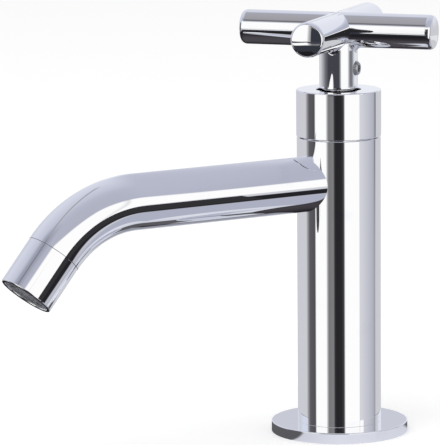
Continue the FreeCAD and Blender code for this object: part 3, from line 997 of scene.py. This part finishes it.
# A painted reflection band over the arms that lie across the view: their line, degrees round from the camera, and
# the tones across it by the angle up from the camera's side
paintedRailReflection = {"line": 69.95, "along": -0.307, "half": 0.034, "soft": 0.006, "from": 43, "to": 121}
paintedRailReflectionStops = [
    (40, 255), (46, 84, 84, 88), (50, 112, 112, 117), (58, 158, 157, 164), (96, 166, 165, 172),
    (106, 164, 166, 178), (116, 168, 170, 183), (122, 226, 227, 236),
]
# Steps are (low, high, start, end) of a value that goes from start to end; bands are (from, to, softness)
# The studio's spot, dim part, pale and blue tones and black are painted reflections, for mirrored rays alone;
# diffuse and background are its plain light and white backdrop
studio = {
    "diffuse": 0.72, "background": 1.0, "wallHeight": (-5, 0), "besideWall": (-100, 132, 3.0),
    "spotTilt": 12.4,  # a pale spot low behind
    "spotReach": (0.9955, 0.9985), "spotTone": tone(200, 203, 214),
    "ceilingLine": 15,  # the ceiling's tone changes along this line
    "ceilingEdge": [(-71, -68, 20, 36), (-5, 45, 0, -5), (41, 66, 0, -10)],
    "dimRound": (-72, -28, 16.0), "dimUp": (38, 42, 50, 66), "dimTone": tone(144, 149, 166),
    "dimShare": 0.8,
    "wallFoot": [(-33, -20, -21.5, 0), (-33, -20, 0, -31.0)],
    "paleStart": (57, 67), "paleEnd": (-52, -44, 114, 184), "paleUp": (-64, -10, 2.0),
    "paleDusk": (106, 122), "paleBlue": tone(173, 177, 194), "duskBlue": tone(148, 150, 163),
    "blackRound": (57.5, 88, 3.0), "blackTop": (-15, -12.6, 1.0, 0.0),
    "blackFoot": (66, 78, -31.5, -24), "black": tone(36, 36, 40),
}
degree = 180 / math.pi


def makeWorld():
    world = bpy.data.worlds.new("studio")
    bpy.context.scene.world = world
    world.use_nodes = True
    graph = Graph(world.node_tree)
    direction = graph.value("ShaderNodeTexCoord", output="Generated")
    settings, inputs = {"rotation_type": "Z_AXIS"}, {"Vector": direction, "Angle": -math.radians(shotFacing)}
    x, y, z = graph.parts(graph.value("ShaderNodeVectorRotate", settings, inputs))
    sweep = y.maths("ARCTAN2", y, x) * degree
    rise = z.maths("ARCSINE", z) * degree

    def towards(degrees):
        # How far the direction goes along a level line
        angle = math.radians(degrees)
        return x * math.cos(angle) + y * math.sin(angle)

    # The painted reflection of a wall: dark panels low in front, a pale wall behind
    seen = sweep.tones(paintedWallReflectionStops)
    for around, up, share, levels in paintedReflectionPanels:
        seen = graph.mix(sweep.window(*around) * rise.window(*up) * share, seen, tone(*levels))
    behind = 1 - sweep.band(*studio["besideWall"])
    seen = graph.mix(behind * rise.between(*studio["wallHeight"]), seen, sweep.tones(paintedBackReflectionStops))
    tilt = math.radians(studio["spotTilt"])
    low = z * math.sin(tilt) - x * math.cos(tilt)
    seen = graph.mix(low.between(*studio["spotReach"]), seen, studio["spotTone"])
    # The painted reflection of a ceiling, whose edge sinks to the right and on the far left, with a dim part and
    # the painted rail band
    first, *others = (sweep.between(*step) for step in studio["ceilingEdge"])
    ceiling = towards(studio["ceilingLine"]).tones(paintedCeilingReflectionStops, -1, 1)
    seen = graph.mix((rise - sum(others, first)).between(-2, 2), seen, ceiling)
    dim = sweep.band(*studio["dimRound"]) * rise.window(*studio["dimUp"])
    seen = graph.mix(dim * studio["dimShare"], seen, studio["dimTone"])
    lean = z.maths("ARCTAN2", z, towards(paintedRailReflection["line"] - 90)) * degree
    along = towards(paintedRailReflection["line"]).band(paintedRailReflection["along"] - paintedRailReflection["half"], paintedRailReflection["along"] + paintedRailReflection["half"], paintedRailReflection["soft"])
    seen = graph.mix(along * lean.band(paintedRailReflection["from"], paintedRailReflection["to"], 2.0), seen, lean.tones(paintedRailReflectionStops, 0, 180))
    # Below the wall, the painted reflection of a ground: dark, pale to the right and further round where it is
    # less steep
    past = (sweep - rise.between(*studio["paleEnd"])).between(-6, 6, 1.0, 0.0)
    inPale = sweep.between(*studio["paleStart"]) * past * rise.band(*studio["paleUp"])
    paleTone = graph.mix(sweep.between(*studio["paleDusk"]), studio["paleBlue"], studio["duskBlue"])
    ground = graph.mix(inPale, rise.tones(paintedFloorReflectionStops, -90, 90), paleTone)
    first, second = (sweep.between(*step) for step in studio["wallFoot"])
    seen = graph.mix((rise - (first + second)).between(-1.5, 1.5, 1.0, 0.0), seen, ground)
    # A black patch painted into the reflection, low down
    aboveFoot = (rise - sweep.between(*studio["blackFoot"])).between(-1.5, 1.5)
    inBlack = sweep.band(*studio["blackRound"]) * rise.between(*studio["blackTop"]) * aboveFoot
    seen = graph.mix(inBlack, seen, studio["black"])

    # Mirrored rays see the painted reflection, the camera sees the plain white backdrop, and other rays the plain
    # diffuse light
    mirrored, straight = graph.rays()
    plain = graph.mix(straight, *((studio[key],) * 3 + (1,) for key in ("diffuse", "background")))
    inputs = {"Color": graph.mix(mirrored, plain, seen), "Strength": 1.0}
    graph.node("ShaderNodeOutputWorld", {}, {0: graph.value("ShaderNodeBackground", {}, inputs)})


deck = {"size": 6.0, "colour": tone(252, 252, 252), "lift": 0.2, "near": 41.0, "soft": 0.5}
# Painted reflection tones of the deck near the tap, by degrees round from the camera
paintedNearReflectionStops = [
    (-180, 205, 208, 218), (-121, 205, 208, 218), (-117, 92, 92, 96), (-48, 88, 88, 92),
    (-44, 204, 207, 218), (0, 220, 222, 232), (90, 208, 211, 221), (100, 96, 96, 100),
    (118, 96, 96, 100), (124, 205, 208, 218), (180, 205, 208, 218),
]


def aroundTap(graph):
    # How far a place is from the axis in millimetres, and degrees round from the camera
    x, y, _ = graph.parts(graph.place())
    square = x * x + y * y
    sweep = y.maths("ARCTAN2", y, x) * degree - shotFacing + 180
    return square.maths("SQRT", square) / mm, sweep.maths("FLOORED_MODULO", sweep, 360) - 180


def makeDeck():
    half = deck["size"] / 2 / mm
    skin = Skin()
    skin.grid(np.array([[[x, y, 0] for x in (-half, half)] for y in (-half, half)]))
    floor = skin.build("deckTop")
    material, graph = newGraph("paleDeck")
    mirrored, straight = graph.rays()
    matt = graph.value("ShaderNodeBsdfDiffuse", {}, {"Color": deck["colour"]})
    glow = graph.glow((1, 1, 1, 1), straight * deck["lift"])
    lit = graph.value("ShaderNodeAddShader", {}, {0: matt, 1: glow})
    # Mirrored rays see the deck close to the tap glow with painted reflection tones, dark bands that the deck
    # shows to no other ray; further out mirrored rays go through
    reach, sweep = aroundTap(graph)
    close = reach.between(deck["near"] - deck["soft"], deck["near"] + deck["soft"], 1.0, 0.0)
    clear = graph.value("ShaderNodeBsdfTransparent")
    nearOrClear = graph.either(close, clear, graph.glow(sweep.tones(paintedNearReflectionStops)))
    graph.node("ShaderNodeOutputMaterial", {}, {0: graph.either(mirrored, lit, nearOrClear)})
    floor.data.materials.append(material)


# Studio cards that glow with painted reflection tones for mirrored rays alone, giving no light, in millimetres
# and degrees round from the camera: a strip beside the spout, a flat ring above it, and three upright ones far
# round the tap
sideStrip = {
    "x": 15.0, "start": -34.0, "full": -44.0, "top": -0.8, "bottom": -5.0, "rows": 21,
    "tone": tone(50, 50, 53), "seenFrom": (0, -60, 91),
}
spoutShade = {
    "inner": 15.2, "outer": 94.0,
    "fade": 72.0,  # it fades out from here
    "fadeOver": 20.0, "height": 121.6, "cols": 97,
    "tone": [
        (-180, 196, 200, 215), (-148, 204, 208, 222), (-58, 184, 187, 203), (31, 177, 180, 196),
        (120, 184, 187, 203), (180, 196, 200, 215),
    ],
}
# Painted reflection tones of the far cards, for the column's stem and its stripe
paintedStemReflectionStops = [
    (-150, 226, 227, 232), (-140, 214, 215, 220), (-125, 193, 194, 199), (-114, 175, 176, 181),
    (-104, 157, 158, 164), (-95, 134, 135, 141), (-87, 111, 112, 118), (-71, 82, 83, 90),
    (-64, 66, 66, 75), (1, 66, 66, 75), (9, 150, 150, 154), (14, 255),
]
paintedStripeReflectionStops = [
    (58, 216, 216, 219), (64, 172, 172, 176), (69, 132, 131, 136), (75, 115, 114, 121),
    (84, 118, 118, 126), (92, 150, 150, 157), (100, 199, 201, 210), (110, 222, 225, 231),
    (150, 228, 229, 233),
]
farCards = {"radius": 400.0, "cols": 160, "seenFrom": (0, 0, 130)}
# The stem's card is clear of an arch where the stem mirrors white: degrees round, and share of its rise
arch = {"round": (-63, -52, -43, -36, -28), "share": (0, 0.6, 1, 0.9, 0)}
flags = {
    "stemFlag": {"from": -145, "to": 14, "bottom": 74.4, "top": 91.5, "arch": 6.8, "tone": paintedStemReflectionStops},
    "stripeFlag": {"from": 62, "to": 150, "bottom": 74.4, "top": 91.5, "arch": 0, "tone": paintedStripeReflectionStops},
    "endFlag": {"from": -30, "to": -12, "bottom": 73.0, "top": 220.0, "arch": 0, "tone": tone(54, 56, 65)},
}


def polar(radius, degrees):
    # (x, y) at these degrees round from the camera
    return aboutAxis(radius, np.radians(degrees + shotFacing), 0)[:, :2]


def atHeight(line, height):
    return np.column_stack([line, np.broadcast_to(height, len(line))])


def hangCard(name, rows, colour, seenFrom, fade=None, once=False):
    # A card shows from the side of the point seenFrom, and is clear from behind. It glows its colour, a painted
    # reflection tone or stops by degrees round from the camera, for mirrored rays alone. One that shows once
    # isn't mirrored a second time.
    skin = Skin()
    skin.grid(rows)
    card = skin.build(name)
    normal = sum((face.normal * face.area for face in card.data.polygons), Vector())
    if normal.dot(Vector(seenFrom) - Vector(rows.reshape(-1, 3).mean(axis=0))) < 0:
        card.data.flip_normals()
    material, graph = newGraph(name + "Tone")
    hidden = graph.value("ShaderNodeNewGeometry", output="Backfacing")
    reach, sweep = aroundTap(graph)
    if isinstance(colour, list):
        colour = sweep.tones(colour)
    if fade:
        hidden = hidden.maths("MAXIMUM", hidden, reach.between(*fade))
    if once:
        bounces = graph.value("ShaderNodeLightPath", output="Glossy Depth")
        hidden = hidden.maths("MAXIMUM", hidden, bounces.between(1.2, 1.8))
    clear = graph.value("ShaderNodeBsdfTransparent")
    graph.node("ShaderNodeOutputMaterial", {}, {0: graph.either(hidden, graph.glow(colour), clear)})
    card.data.materials.append(material)
    for kind in ("camera", "diffuse", "transmission", "volume_scatter", "shadow"):
        setattr(card, "visible_" + kind, False)


def makeStrip():
    # A dark strip of painted reflection all along the spout's line, wider from its start on
    angles = np.linspace(0, turn, sideStrip["rows"])
    low = spout["height"] + sideStrip["bottom"]
    rows = []
    for offset in (sideStrip["bottom"], sideStrip["top"]):
        arm = spout["bend"] + offset
        level = [[sideStrip["start"], low], [sideStrip["full"], spout["height"] + offset]]
        y = -spout["level"] - arm * np.sin(angles)
        z = spout["height"] - spout["bend"] + arm * np.cos(angles)
        bent = np.stack([y, z], axis=-1)
        line = np.vstack([level, bent, bent[-1:] + flow[1:] * nozzle["length"]])
        rows.append(np.column_stack([np.full(len(line), sideStrip["x"]), line]))
    hangCard("sideStrip", np.array(rows), sideStrip["tone"], sideStrip["seenFrom"])


def makeFlag(name, card):
    angles = np.linspace(card["from"], card["to"], farCards["cols"])
    line = polar(farCards["radius"], angles)
    bottom = card["bottom"] + np.interp(angles, arch["round"], arch["share"]) * card["arch"]
    rows = np.array([atHeight(line, height) for height in (bottom, card["top"])])
    hangCard(name, rows, card["tone"], farCards["seenFrom"], once=True)


def makeShade():
    # Hides all that is above the spout from its top and puts a painted reflection tone there instead
    angles = np.linspace(0, 360, spoutShade["cols"])
    rows = [atHeight(polar(spoutShade[edge], angles), spoutShade["height"]) for edge in ("inner", "outer")]
    fade = (spoutShade["fade"], spoutShade["fade"] + spoutShade["fadeOver"])
    hangCard("spoutShade", np.array(rows), spoutShade["tone"], (0, 0, 0), fade)


softbox = {"size": 1.2, "power": 9.0, "azimuth": 20.0, "elevation": 62.0, "distance": 1.8}


def makeSoftbox():
    right, up, back = viewAxes(softbox["azimuth"], softbox["elevation"])
    data = bpy.data.lights.new("softbox", "AREA")
    data.size = softbox["size"]
    data.energy = softbox["power"]
    lamp = standAt("softbox", data, right, up, back, back * softbox["distance"])
    lamp.visible_glossy = False


makeCamera()
makeWorld()
makeDeck()
makeSoftbox()
makeStrip()
for cardName, values in flags.items():
    makeFlag(cardName, values)
makeShade()
bpy.context.scene.view_settings.view_transform = "Standard"
print("studio made")
